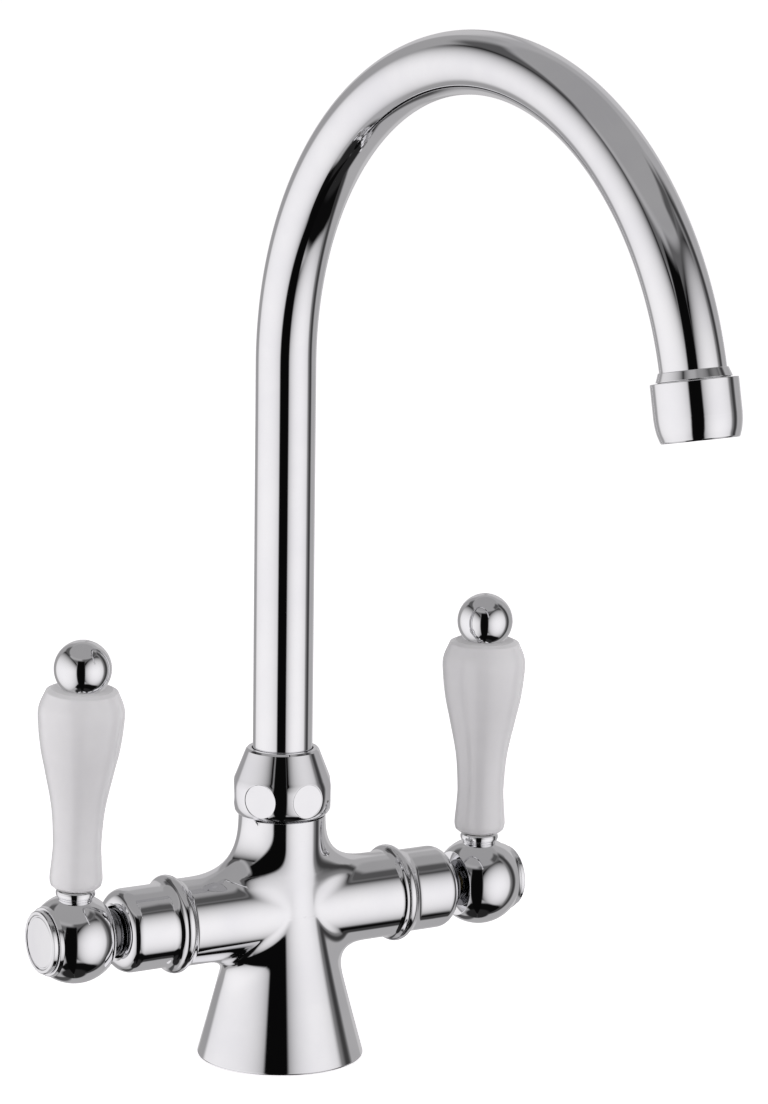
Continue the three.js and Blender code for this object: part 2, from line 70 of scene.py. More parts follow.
# Points [radius, height] on an arc: centre plus radius times the cosine and sine of the angle.
def arcLine(centre, radius, startDegrees, endDegrees, steps):
    angle = np.radians(np.linspace(startDegrees, endDegrees, steps + 1))
    return np.stack([centre[0] + radius * np.cos(angle), centre[1] + radius * np.sin(angle)], 1)


# A smooth line through the given points: each stretch is the cubic whose slope at a point is
# half the step from the point before to the point after.
def flowLine(points, steps):
    p = np.asarray(points, float)
    before = np.concatenate([2 * p[:1] - p[1:2], p[:-2]])
    after = np.concatenate([p[2:], 2 * p[-1:] - p[-2:-1]])
    slopeStart, slopeEnd = (p[1:] - before) / 2, (after - p[:-1]) / 2
    t = np.linspace(0, 1, steps, endpoint=False)[None, :, None]
    a, b = p[:-1, None], p[1:, None]
    m0, m1 = slopeStart[:, None], slopeEnd[:, None]
    line = (2 * t**3 - 3 * t**2 + 1) * a + (t**3 - 2 * t**2 + t) * m0
    line = line + (3 * t**2 - 2 * t**3) * b + (t**3 - t**2) * m1
    return np.concatenate([line.reshape(-1, 2), p[-1:]])


# Softens the corners of a line: where it turns sharply, a small curve through three weights of
# corner and tangent points takes the corner's place, with a support point on either side.
def softLine(points, softness, closed=False, arcs=False, steps=softening["steps"]):
    sharp = softening["sharpTurnOnArcs" if arcs else "sharpTurn"]
    p = np.asarray(points, float)
    keep = np.linalg.norm(np.diff(p, axis=0, append=p[:1]), axis=1) > samePlace
    keep[-1] = keep[-1] or not closed
    p = p[keep]
    result = []
    count = len(p)
    for i in range(count):
        if not closed and i in (0, count - 1):
            result.append(p[i])
            continue
        back, ahead = p[i - 1] - p[i], p[(i + 1) % count] - p[i]
        backLength, aheadLength = np.linalg.norm(back), np.linalg.norm(ahead)
        back, ahead = back / backLength, ahead / aheadLength
        turn = math.pi - math.acos(np.clip(back @ ahead, -1, 1))
        if math.degrees(turn) < sharp:
            result.append(p[i])
            continue
        side = min(backLength, aheadLength)
        reach = min(softness * math.tan(turn / 2), softening["cornerShare"] * side)
        extra = min(softening["support"], softening["supportShare"] * side)
        result.append(p[i] + back * (reach + extra))
        t = np.linspace(0, 1, steps + 1)[:, None]
        start, end = p[i] + back * reach, p[i] + ahead * reach
        result.extend((1 - t) ** 2 * start + 2 * t * (1 - t) * p[i] + t**2 * end)
        result.append(p[i] + ahead * (reach + extra))
    return np.array(result)


# Cell (i, j) of a grid joins its four corners; a closed direction joins its end to its start.
def gridFaces(rows, columns, closeRows=False, closeColumns=True):
    i = np.arange(rows if closeRows else rows - 1)[:, None]
    j = np.arange(columns if closeColumns else columns - 1)[None, :]
    down, across = (i + 1) % rows, (j + 1) % columns
    corners = [i * columns + j, i * columns + across, down * columns + across, down * columns + j]
    return np.stack(np.broadcast_arrays(*corners), -1).reshape(-1, 4)


# Turns a profile of [radius, height] round an axis: the point is origin plus height along the
# axis plus radius times the cosine and sine of the angle along two directions square to it.
def turned(profile, count, origin=(0, 0, 0), axis=(0, 0, 1), closed=False):
    origin, axis = np.array(origin, float), np.array(axis, float)
    axis = axis / np.linalg.norm(axis)
    alongY = abs(axis[1]) > math.cos(math.pi / 4)
    helper = np.array([1.0, 0.0, 0.0] if alongY else [0.0, -1.0, 0.0])
    across = np.cross(helper, axis)
    across = across / np.linalg.norm(across)
    along = np.cross(axis, across)
    angle = np.linspace(0, 2 * math.pi, count, endpoint=False)
    circle = np.cos(angle)[:, None] * across + np.sin(angle)[:, None] * along
    radius, height = profile[:, 0], profile[:, 1]
    points = origin + height[:, None, None] * axis + radius[:, None, None] * circle
    return points.reshape(-1, 3), gridFaces(len(profile), count, closeRows=closed)


# Joins several sets of points and faces into one.
def joined(parts):
    points, faces, start = [], [], 0
    for somePoints, someFaces in parts:
        points.append(somePoints)
        faces.append(someFaces + start)
        start += len(somePoints)
    return np.concatenate(points), np.concatenate(faces)


# Puts points in millimetres and faces into a smooth mesh with closed seams that faces outwards.
def makePiece(name, shape, material, body, stands=()):
    points, faces = shape
    mesh = bpy.data.meshes.new(name)
    mesh.vertices.add(len(points))
    mesh.vertices.foreach_set("co", (points * mm).astype(np.float32).ravel())
    mesh.loops.add(faces.size)
    mesh.loops.foreach_set("vertex_index", faces.astype(np.int32).ravel())
    mesh.polygons.add(len(faces))
    mesh.polygons.foreach_set("loop_start", np.arange(0, faces.size, 4, dtype=np.int32))
    mesh.update(calc_edges=True)
    work = bmesh.new()
    work.from_mesh(mesh)
    bmesh.ops.remove_doubles(work, verts=work.verts, dist=weldDistance)
    bmesh.ops.dissolve_degenerate(work, edges=work.edges, dist=weldDistance)
    bmesh.ops.recalc_face_normals(work, faces=work.faces)
    work.to_mesh(mesh)
    work.free()
    mesh.polygons.foreach_set("use_smooth", np.ones(len(mesh.polygons), bool))
    mesh.materials.append(material)
    mesh.update()
    piece = bpy.data.objects.new(name, mesh)
    bpy.context.scene.collection.objects.link(piece)
    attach(piece, body)
    if stands:
        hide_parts(*stands)
    return piece


# Adds a node; a socket among its inputs is wired, any other value is set.
def addNode(tree, kind, settings=None, inputs=None):
    node = tree.nodes.new(kind)
    for key, value in (settings or {}).items():
        setattr(node, key, value)
    for key, value in (inputs or {}).items():
        if isinstance(value, bpy.types.NodeSocket):
            tree.links.new(value, node.inputs[key])
        else:
            node.inputs[key].default_value = value
    return node


# One operation of the Math node on two numbers or sockets.
def maths(tree, operation, first, second=0.0):
    node = addNode(tree, "ShaderNodeMath", {"operation": operation}, {0: first, 1: second})
    return node.outputs[0]


# Carries a value from one range to another, straight or as a smooth step, and never past it.
def spread(tree, value, low, high, toLow, toHigh, smooth=False):
    settings = {"interpolation_type": "SMOOTHSTEP" if smooth else "LINEAR", "clamp": True}
    inputs = {"Value": value, "From Min": low, "From Max": high, "To Min": toLow, "To Max": toHigh}
    return addNode(tree, "ShaderNodeMapRange", settings, inputs).outputs["Result"]


# Goes from the first colour to the second as the mask goes from 0 to 1.
def mixColours(tree, mask, first, second):
    inputs = {0: mask, 6: first, 7: second}
    return addNode(tree, "ShaderNodeMix", {"data_type": "RGBA"}, inputs).outputs[2]


# A noise value between 0 and 1 at a place.
def noise(tree, place, scale, detail, roughness=0.5):
    inputs = {"Vector": place, "Scale": scale, "Detail": detail, "Roughness": roughness}
    return addNode(tree, "ShaderNodeTexNoise", None, inputs).outputs["Fac"]


# The noises of the group below: their scales, the detail and roughness of each, how far hairlines
# are drawn out along each axis, and the part of a noise's range that is used.
surface = {
    "scales": {"Cloud Scale": 45.0, "Grain Scale": 900.0, "Hairline Scale": 2600.0},
    "cloud": (4.0, 0.55),
    "grain": (2.0, 0.6),
    "hairline": (1.0, 0.4),
    "stretch": (1.0, 1.0, 0.03),
    "range": (0.3, 0.7),
}


# One group for every finish: slow cloud, fine grain and hairlines along an axis, each a value
# between 0 and 1 that changes over the surface. Cloud marks where hands and cloths have passed.
def makeSurfaceGroup():
    tree = bpy.data.node_groups.new("surfaceVariation", "ShaderNodeTree")
    for name, number in surface["scales"].items():
        socket = tree.interface.new_socket(name, in_out="INPUT", socket_type="NodeSocketFloat")
        socket.default_value = number
    for name in ("Cloud", "Grain", "Hairline"):
        tree.interface.new_socket(name, in_out="OUTPUT", socket_type="NodeSocketFloat")
    given = tree.nodes.new("NodeGroupInput")
    result = tree.nodes.new("NodeGroupOutput")
    place = addNode(tree, "ShaderNodeTexCoord").outputs["Object"]
    cloud = noise(tree, place, given.outputs["Cloud Scale"], *surface["cloud"])
    grain = noise(tree, place, given.outputs["Grain Scale"], *surface["grain"])
    drawnOut = {"Vector": place, "Scale": surface["stretch"]}
    place = addNode(tree, "ShaderNodeMapping", None, drawnOut).outputs["Vector"]
    hairline = noise(tree, place, given.outputs["Hairline Scale"], *surface["hairline"])
    low, high = surface["range"]
    for name, value in (("Cloud", cloud), ("Grain", grain), ("Hairline", hairline)):
        tree.links.new(spread(tree, value, low, high, 0.0, 1.0, smooth=True), result.inputs[name])
    return tree


surfaceGroup = makeSurfaceGroup()


# Starts a material: its shader and the group's three values at this finish's scales.
def startMaterial(name, scales):
    material = bpy.data.materials.new(name)
    material.use_nodes = True
    tree = material.node_tree
    shader = next(n for n in tree.nodes if n.type == "BSDF_PRINCIPLED")
    group = addNode(tree, "ShaderNodeGroup", {"node_tree": surfaceGroup})
    for key, number in scales.items():
        group.inputs[key].default_value = number
    return material, tree, shader, group.outputs


# Roughens the shader's normal by a height between 0 and 1 times a distance in metres.
def addBump(tree, shader, height, distance, strength):
    inputs = {"Height": height, "Distance": distance, "Strength": strength}
    bump = addNode(tree, "ShaderNodeBump", None, inputs)
    tree.links.new(bump.outputs["Normal"], shader.inputs["Normal"])


metal = {
    "scales": {"Cloud Scale": 38.0, "Grain Scale": 700.0, "Hairline Scale": 2200.0},
    "rippleStrength": 0.25,
}


# Plated or bare metal: two near tints follow the cloud, and the polish is duller where the cloud
# and the hairlines are strong.
def makeMetal(name, tintLow, tintHigh, polish, dullness, ripple):
    material, tree, shader, marks = startMaterial(name, metal["scales"])
    shader.inputs["Metallic"].default_value = 1.0
    colour = mixColours(tree, marks["Cloud"], tintLow, tintHigh)
    tree.links.new(colour, shader.inputs["Base Color"])
    wear = maths(tree, "MULTIPLY", marks["Cloud"], marks["Hairline"])
    rough = spread(tree, wear, 0.0, 1.0, polish, polish + dullness)
    tree.links.new(rough, shader.inputs["Roughness"])
    addBump(tree, shader, marks["Grain"], ripple, metal["rippleStrength"])
    return material


glaze = {
    "scales": {"Cloud Scale": 60.0, "Grain Scale": 260.0, "Hairline Scale": 1500.0},
    "white": (0.9, 0.89, 0.905, 1),
    "pooled": (0.87, 0.86, 0.875, 1),
    "pooledShare": 0.7,
    "speck": (0.45, 0.43, 0.42, 1),
    "speckScale": 420.0,
    "speckEdge": (0.02, 0.06),
    "speckShare": 0.35,
    "rareScale": 55.0,
    "rareDetail": 2.0,
    "rareRange": (0.62, 0.7),
    "roughness": (0.1, 0.17),
    "coat": (0.25, 0.4),
    "coatRoughness": 0.05,
    "refraction": 1.5,
    "peel": 0.00002,
    "peelStrength": 0.12,
}


# Fired glaze: a cloud of two whites, slightly deeper where the glaze has pooled, rare tiny dark
# specks, and a wet surface with a very slight orange peel.
def makeGlaze(name):
    material, tree, shader, marks = startMaterial(name, glaze["scales"])
    place = addNode(tree, "ShaderNodeTexCoord").outputs["Object"]
    pooled = maths(tree, "MULTIPLY", marks["Cloud"], glaze["pooledShare"])
    colour = mixColours(tree, pooled, glaze["white"], glaze["pooled"])
    voronoi = {"Vector": place, "Scale": glaze["speckScale"]}
    cells = addNode(tree, "ShaderNodeTexVoronoi", None, voronoi).outputs["Distance"]
    dots = spread(tree, cells, *glaze["speckEdge"], glaze["speckShare"], 0.0, smooth=True)
    rare = noise(tree, place, glaze["rareScale"], glaze["rareDetail"])
    rare = spread(tree, rare, *glaze["rareRange"], 0.0, 1.0)
    colour = mixColours(tree, maths(tree, "MULTIPLY", dots, rare), colour, glaze["speck"])
    rough = spread(tree, marks["Cloud"], 0.0, 1.0, *glaze["roughness"])
    coat = spread(tree, marks["Grain"], 0.0, 1.0, *glaze["coat"])
    tree.links.new(colour, shader.inputs["Base Color"])
    tree.links.new(rough, shader.inputs["Roughness"])
    tree.links.new(coat, shader.inputs["Coat Weight"])
    shader.inputs["Coat Roughness"].default_value = glaze["coatRoughness"]
    shader.inputs["IOR"].default_value = glaze["refraction"]
    addBump(tree, shader, marks["Grain"], glaze["peel"], glaze["peelStrength"])
    return material


moulded = {
    "scales": {"Cloud Scale": 120.0, "Grain Scale": 1400.0, "Hairline Scale": 3000.0},
    "cloudShare": 0.6,
    "grainShare": 0.4,
    "grainStrength": 0.4,
}


# Plain moulded or sintered stuff: cloud and grain shift both colour and roughness.
def makeMoulded(name, light, dark, roughLow, roughHigh, grainDepth):
    material, tree, shader, marks = startMaterial(name, moulded["scales"])
    cloud = maths(tree, "MULTIPLY", marks["Cloud"], moulded["cloudShare"])
    grain = maths(tree, "MULTIPLY", marks["Grain"], moulded["grainShare"])
    share = maths(tree, "ADD", cloud, grain)
    tree.links.new(mixColours(tree, share, light, dark), shader.inputs["Base Color"])
    tree.links.new(spread(tree, share, 0.0, 1.0, roughLow, roughHigh), shader.inputs["Roughness"])
    addBump(tree, shader, marks["Grain"], grainDepth, moulded["grainStrength"])
    return material


# A metal has two tints, its polish, what wear adds to it, and its ripple's height in metres. A
# moulded stuff has two tints, its lowest and highest roughness, and its grain's height.
finishes = {
    "chrome_plate": makeMetal(
        "chromePlate", (0.85, 0.85, 0.87, 1), (0.9, 0.9, 0.91, 1), 0.02, 0.05, 4e-7,
    ),
    "brass_parts": makeMetal(
        "machinedBrass", (0.72, 0.56, 0.24, 1), (0.83, 0.68, 0.34, 1), 0.22, 0.2, 8e-6,
    ),
    "steel_parts": makeMetal(
        "brushedSteel", (0.5, 0.5, 0.51, 1), (0.62, 0.62, 0.63, 1), 0.2, 0.2, 6e-6,
    ),
    "glazed_handle": makeGlaze("glazedCeramic"),
    "valve_ceramic": makeMoulded(
        "valveCeramic", (0.88, 0.87, 0.84, 1), (0.8, 0.79, 0.77, 1), 0.3, 0.5, 6e-6,
    ),
    "black_rubber": makeMoulded(
        "blackRubber", (0.03, 0.03, 0.032, 1), (0.012, 0.012, 0.013, 1), 0.6, 0.85, 2e-5,
    ),
    "white_nylon": makeMoulded(
        "whiteNylon", (0.86, 0.85, 0.81, 1), (0.78, 0.77, 0.73, 1), 0.35, 0.55, 1e-5,
    ),
}
# Chrome painted dark for the neck sleeves: a painted shade for the gap between the shroud and the
# hub.
paintedShadeMetal = makeMetal(
    "paintedShadeMetal", (0.16, 0.16, 0.17, 1), (0.24, 0.24, 0.25, 1), 0.06, 0.1, 1e-6,
)
chrome = finishes["chrome_plate"]
print("materials made:", len(bpy.data.materials))

# Solids that stay as they are take their finish from the record's slot.
for part in frame["record"]["subparts"]:
    solid = frame["nodes"][part["node"]]
    solid.data.materials.clear()
    solid.data.materials.append(finishes[part["material_slot"]])

# The cast body, in millimetres. Lines are pairs of radius and height.
body = {
    "neckRadius": 16.1,
    "armRadius": 16.1,
    "coneStart": 68.0,
    "coneBend": 15.8,
    "coneSlope": 0.277,
    "upperFillet": 18.0,
    "lowerFillet": 9.0,
    "frontFillet": 3.0,
    "filletPower": 3.0,
    "armStop": 45.8,
    "quarterSteps": 56,
    "columnSteps": 40,
    "filletSteps": 30,
    "armSteps": 52,
    "filletReach": 1.3,          # how much longer than the fillet its first lines are
    "armCrowding": 1.5,          # how much the arm's lines crowd towards the fillet
    "neckEnd": 90.8,
    "footEnd": 1.7,
    "footEdge": (1.0, 1.6),
    "capShares": (0.5, 0.0),     # places of the arm's end face, from its rim to its middle
    "edge": 0.3,
    "slopeProbe": 0.01,
    "slideSteps": 7,
    "slideProbe": 1e-3,
    "longestSlide": 1.0,
    "least": 1e-6,               # keeps divisions by a distance from the axes finite
    "leastSlope": 1e-3,
    "spigot": [[0, 66], [10.5, 66], [10.5, 102], [13.6, 102], [13.6, 91.5], [16.1, 91.5],
               [16.1, 91.0]],
    "hollow": [[0, 31], [17.2, 31], [24, 3.1], [27.5, 3.1], [27.5, 0.4], [30.6, 0.4]],
}


# Radius of the column: the neck's radius, and below the cone's start also the cone's slope times
# the hypotenuse of the drop and the bend, less the bend.
def columnRadius(height):
    drop = np.maximum(0, body["coneStart"] - height)
    spare = np.hypot(drop, body["coneBend"]) - body["coneBend"]
    return body["neckRadius"] + body["coneSlope"] * spare


# The fillet's radius by height: its upper or lower size at the arms' top or bottom and its front
# size half way, following the height from the arms' middle.
def filletRadius(height):
    rise = np.clip((height - armHeight) / body["armRadius"], -1, 1)
    most = np.where(rise > 0, body["upperFillet"], body["lowerFillet"])
    return body["frontFillet"] + (most - body["frontFillet"]) * np.abs(rise)


# How far a point lies outside the casting. With both distances, to the column and to the arms,
# below a width, the result is that width less the root of the summed powers of what the two lack
# of it. The width is the fillet's radius times one less the cosine between the two surfaces'
# normals, as for a rolling ball, and longer as the power lets the fillet fade in slowly.
def castDistance(p):
    x, y, z = p[..., 0], p[..., 1], p[..., 2]
    flat = np.maximum(np.hypot(x, y), body["least"])
    probe = body["slopeProbe"]
    slope = (columnRadius(z + probe) - columnRadius(z - probe)) / (2 * probe)
    lean = 1 / np.hypot(1, slope)
    toColumn = (flat - columnRadius(z)) * lean
    across = np.maximum(np.hypot(y, z - armHeight), body["least"])
    toArm = across - body["armRadius"]
    likeness = (y / flat * y / across - slope * (z - armHeight) / across) * lean
    power = body["filletPower"]
    longer = (1 - 0.5**0.5) / (1 - 0.5 ** (1 / power))
    width = longer * filletRadius(z) * np.maximum(0, 1 - likeness)
    lackColumn, lackArm = np.maximum(0, width - toColumn), np.maximum(0, width - toArm)
    lack = (lackColumn**power + lackArm**power) ** (1 / power)
    return np.maximum(width, np.minimum(toColumn, toArm)) - lack


# Slides points along the steepest way until their distance from the casting is nothing.
def ontoCasting(points):
    p = points.copy()
    probe, longest = body["slideProbe"], body["longestSlide"]
    steps = np.eye(3) * probe
    for _ in range(body["slideSteps"]):
        here = castDistance(p)
        rises = [castDistance(p + step) - castDistance(p - step) for step in steps]
        way = np.stack(rises, -1) / (2 * probe)
        size = np.maximum(np.sum(way * way, -1), body["leastSlope"])
        p = p - np.clip(here / size, -longest, longest)[..., None] * way
    return p


# One mirrored eighth of the skin. Its lines run up or down the column, through the fillet and
# out along the arm, and turn counts from the arm's top or bottom, 0, to its front, 90 degrees.
def skinPatch(upwards):
    way = 1.0 if upwards else -1.0
    arm = body["armRadius"]
    turn = np.linspace(0, math.pi / 2, body["quarterSteps"] + 1)
    outward, sideways = np.maximum(0, np.cos(turn)), np.sin(turn)
    meetHeight = armHeight + way * arm * outward
    meetRadius = arm + (0 if upwards else 1) * (columnRadius(meetHeight) - columnRadius(armHeight))
    side = arm * sideways
    meetX = np.sqrt(np.maximum(0, meetRadius**2 - side**2))
    fillet = body["upperFillet"] if upwards else body["lowerFillet"]
    fillet = body["filletReach"] * fillet * outward

    def ringPoints(radius, height):
        scale = radius / meetRadius
        return np.stack(np.broadcast_arrays(meetX * scale, side * scale, height), -1)

    inner = np.array(body["spigot"] if upwards else body["hollow"], float)
    endHeight = body["neckEnd"] if upwards else body["footEnd"]
    if not upwards:
        edge = [[columnRadius(height), height] for height in body["footEdge"]]
        inner = np.concatenate([inner, edge])
    rim = [ringPoints(radius, height) for radius, height in softLine(inner, body["edge"])]
    rows = []
    startHeight = meetHeight + way * fillet
    for share in np.linspace(0, 1, body["columnSteps"], endpoint=False):
        height = endHeight + (startHeight - endHeight) * share
        rows.append(ringPoints(columnRadius(height), height))
    start = ringPoints(columnRadius(startHeight), startHeight)
    meet = np.stack([meetX, side, meetHeight], -1)
    end = meet + np.stack([fillet, 0 * side, 0 * side], -1)
    weight = math.sqrt(0.5)
    for t in np.linspace(0, 1, body["filletSteps"] + 1):
        w0, w1, w2 = (1 - t) ** 2, 2 * weight * t * (1 - t), t**2
        rows.append((w0 * start + w1 * meet + w2 * end) / (w0 + w1 + w2))
    for share in np.linspace(0, 1, body["armSteps"] + 1)[1:] ** body["armCrowding"]:
        further = (body["armStop"] - end[:, 0]) * share
        rows.append(end + np.stack([further, 0 * side, 0 * side], -1))
    skin = ontoCasting(np.stack(rows))
    stop = skin[-1] * [0, 1, 1] + [body["armStop"], 0, 0]
    skin[-1] = stop
    centre = np.array([body["armStop"], 0, armHeight])
    cap = [centre + (stop - centre) * share for share in body["capShares"]]
    return np.concatenate([np.stack(rim), skin, np.stack(cap)])


# The whole skin: the upper and the lower patch, each mirrored to the four quarters.
def castShape():
    parts = []
    for upwards in (True, False):
        patch = skinPatch(upwards)
        faces = gridFaces(patch.shape[0], patch.shape[1], closeColumns=False)
        for mirrorX in (1, -1):
            for mirrorY in (1, -1):
                flip = slice(None) if mirrorX * mirrorY > 0 else slice(None, None, -1)
                parts.append((patch.reshape(-1, 3) * [mirrorX, mirrorY, 1], faces[:, flip]))
    return joined(parts)


makePiece("castBody", castShape(), chrome, "mixer", ["mixer_body"])

# The bead round each arm's end. Centre is its radius from the arms' axis and its place on it.
armBead = {
    "centre": (15.55, 47.1),
    "radius": 2.6,
    "armCove": 3.1,
    "shroudCove": 5.0,
    "parting": 45.8,
    "gap": 0.06,
    "inner": 12.0,
    "sink": 0.03,
    "edge": 0.05,
    "coveSteps": 14,
    "topSteps": 8,
    "round": 144,
}


# A bead's round top runs into a cylinder by a hollow arc. Where the two arcs meet, both lean by
# the angle whose cosine is the rise between their centres over the sum of their radii.
def beadCove(cylinder, cove):
    between = armBead["radius"] + cove
    lean = math.acos((cylinder + cove - armBead["centre"][0]) / between)
    return math.degrees(lean), between * math.sin(lean)


# Where along its arc, in degrees, the bead's top is parted into the arm's and the shroud's share.
def beadParting(place):
    return math.degrees(math.asin((place - armBead["centre"][1]) / armBead["radius"]))


for sideName, sign in sides.items():
    foot = body["armRadius"] - armBead["sink"]
    lean, length = beadCove(foot, armBead["armCove"])
    start, stop = armBead["centre"][1] - length, armBead["parting"]
    centre = (foot + armBead["armCove"], start)
    cove = arcLine(centre, armBead["armCove"], 180, 180 - lean, armBead["coveSteps"])
    top = [armBead["centre"], armBead["radius"], -lean, beadParting(stop), armBead["topSteps"]]
    inner = armBead["inner"]
    ring = np.concatenate([[[inner, start]], cove, arcLine(*top)[1:], [[inner, stop]]])
    ring = softLine(ring, armBead["edge"], closed=True, arcs=True)
    shape = turned(ring, armBead["round"], (0, 0, armHeight), (sign, 0, 0), closed=True)
    makePiece(f"{sideName}_arm_bead", shape, chrome, "mixer")
print("cast body made")

# The spout nut: its outer wall by radius and height, and from there over the cone to the inside.
nut = {
    "outer": [[15.7, 91.9], [16.6, 92.35], [17.5, 93.5], [18.2, 95.3], [18.6, 98.0], [18.65, 100.5],
              [18.45, 103.0], [17.92, 104.9], [17.29, 106.5], [16.27, 109.1]],
    "cone": [[16.27, 109.1], [13.55, 116.05], [12.9, 116.8], [11.35, 116.8], [11.35, 106.2],
             [13.9, 106.2], [13.9, 91.9], [15.7, 91.9]],
    "flats": 6,
    "flatRadius": 6.2,
    "flatCentre": 99.7,
    "flatDepth": 17.35,
    "flatTurn": math.radians(2.0),
    "edge": 0.12,
    "coneEdge": 0.25,
    "outerSteps": 8,
    "discShare": 0.6,            # the flat's edge, as a share of the way to the sixth's edge
    "curveShare": 0.62,          # where the squares begin to grow
    "discLines": (0, 0.56, 9),
    "edgeLines": [0.585, 0.6, 0.62, 0.635],
    "outerLines": (0.66, 1, 12),
}


# The six round flats: each sixth of the nut is a square grid whose inner squares are drawn into
# circles. Inside the circle the wall is a plane at the flat's depth or the nut's own curve,
# whichever is nearer to the axis; outside it the wall is the curve turned round the axis, and
# the squares grow from the circle to the sixth's own edges.
def nutShape():
    outline = np.array(nut["outer"])
    fine = flowLine(outline, nut["outerSteps"])
    low, high = outline[0, 1], outline[-1, 1]
    half = math.pi / nut["flats"]
    discLines, outerLines = np.linspace(*nut["discLines"]), np.linspace(*nut["outerLines"])
    steps = np.concatenate([discLines, nut["edgeLines"], outerLines])
    line = np.concatenate([-steps[:0:-1], steps])
    a, b = np.meshgrid(line, line, indexing="ij")
    size = np.maximum(np.abs(a), np.abs(b))
    safe = np.where(size == 0, 1, size)
    wide = np.abs(a) >= np.abs(b)
    ratio = np.where(wide, b / np.where(a == 0, 1, a), a / np.where(b == 0, 1, b))
    angle = np.where(wide, math.pi / 4 * ratio, math.pi / 2 - math.pi / 4 * ratio)
    signed = np.where(wide, np.sign(a), np.sign(b))
    direction = np.stack([signed * np.cos(angle), signed * np.sin(angle)], -1)
    disc = size <= nut["discShare"]
    within = nut["flatRadius"] * size / nut["discShare"]
    reach = np.where(disc, within, nut["flatRadius"] + nut["edge"])
    circleAcross = reach * direction[..., 0]
    circleUp = np.clip(nut["flatCentre"] + reach * direction[..., 1], low, high)
    circleRadius = np.interp(circleUp, fine[:, 1], fine[:, 0])
    circleTurn = np.arcsin(np.clip(circleAcross / circleRadius, -1, 1))
    edgeTurn = half * a / safe
    edgeUp = (low + high) / 2 + (high - low) / 2 * b / safe
    share = np.clip((size - nut["curveShare"]) / (1 - nut["curveShare"]), 0, 1)
    turn = (1 - share) * circleTurn + share * edgeTurn
    up = (1 - share) * circleUp + share * edgeUp
    radius = np.interp(up, fine[:, 1], fine[:, 0])
    flat = np.minimum(nut["flatDepth"] / np.cos(turn), radius)
    radius = np.where(disc, flat, radius)
    parts = []
    faces = gridFaces(len(line), len(line), closeColumns=False)
    for k in range(nut["flats"]):
        around = nut["flatTurn"] + 2 * half * k + turn
        points = np.stack([radius * np.sin(around), -radius * np.cos(around), up], -1)
        parts.append((points.reshape(-1, 3), faces))
    rest = softLine(nut["cone"], nut["coneEdge"])
    middles = nut["flatTurn"] + 2 * half * np.arange(nut["flats"])
    around = (middles[:, None] + half * line[None, :-1]).ravel()
    circle = np.stack([np.sin(around), -np.cos(around), 0 * around], -1)
    points = rest[:, :1, None] * circle + np.array([0, 0, 1]) * rest[:, 1, None, None]
    parts.append((points.reshape(-1, 3), gridFaces(len(rest), len(around))))
    return joined(parts)


makePiece("spoutNut", nutShape(), chrome, "mixer", ["spout_nut"])
print("spout nut made")

# The swan-neck tube, and then what it carries at its end.
tube = {
    "radius": 11.0,
    "bore": 9.8,
    "foot": 104.6,
    "bendStart": 259.4,
    "bendRadius": 117.1,
    "bendAngle": math.radians(168.4),
    "straightSteps": 12,
    "bendSteps": 150,
    "round": 96,
}
swingTurn = np.array([
    [math.cos(spoutSwing), -math.sin(spoutSwing), 0],
    [math.sin(spoutSwing), math.cos(spoutSwing), 0],
    [0, 0, 1],
])


# The tube's centre line goes straight up and then round one bend of constant radius. Each ring
# is the centre plus the radius times a cosine sideways and a sine along the bend's own radius.
def tubeShape():
    bend = np.linspace(0, tube["bendAngle"], tube["bendSteps"] + 1)
    rise = np.linspace(tube["foot"], tube["bendStart"], tube["straightSteps"], endpoint=False)
    angle = np.concatenate([0 * rise, bend])
    y = -tube["bendRadius"] * (1 - np.cos(angle))
    z = tube["bendStart"] + tube["bendRadius"] * np.sin(angle)
    z[: len(rise)] = rise
    centre = np.stack([0 * y, y, z], -1)
    outward = np.stack([0 * y, np.cos(angle), np.sin(angle)], -1)
    turn = np.linspace(0, 2 * math.pi, tube["round"], endpoint=False)
    sideways = np.cos(turn)[None, :, None] * np.array([1.0, 0, 0])
    circle = sideways + np.sin(turn)[None, :, None] * outward[:, None]
    outer = centre[:, None] + tube["radius"] * circle
    inner = (centre[:, None] + tube["bore"] * circle)[::-1]
    points = np.concatenate([outer, inner]).reshape(-1, 3) @ swingTurn.T
    return points, gridFaces(2 * len(angle), tube["round"], closeRows=True)


outletPlace = swingTurn @ [
    0,
    -tube["bendRadius"] * (1 - math.cos(tube["bendAngle"])),
    tube["bendStart"] + tube["bendRadius"] * math.sin(tube["bendAngle"]),
]
outletAxis = swingTurn @ [0, -math.sin(tube["bendAngle"]), math.cos(tube["bendAngle"])]

makePiece("spoutTube", tubeShape(), chrome, "spout", ["spout_tube"])

# Radius and place along the outlet's axis, counted from the tube's end.
outlet = {
    "ferrule": [[11.0, -3.45], [11.5, -3.3], [12.5, -0.45], [12.5, -0.3], [11.9, -0.3], [11.9, 7.5],
                [9.3, 7.5], [9.3, 0.3], [11.0, 0.3]],
    "housing": [[12.3, 0], [14.45, 0], [14.45, 11.5]],
    "taper": [[14.45, 11.5], [14.25, 14.0], [13.8, 16.6], [13.05, 19.0]],
    "mouth": [[12.7, 19.5], [10.8, 19.5], [10.8, 18.9], [11.7, 18.9], [11.7, 8.1], [12.3, 8.1]],
    "ferruleEdge": 0.2,
    "ferruleRound": 112,
    "housingEdge": 0.3,
    "housingRound": 144,
    "taperSteps": 8,
    "insertRadius": 11.4,
    "insertBack": 10.3,
    "insertFace": 18.5,
    "wellPitch": 2.1,
    "wellRadius": 0.78,
    "wellDepth": 1.6,
    "wellEdge": 0.12,
    "wellField": 10.1,
    "rim": 0.4,
    "rings": 76,
    "spokes": 216,
}
ferrule = softLine(outlet["ferrule"], outlet["ferruleEdge"], closed=True)
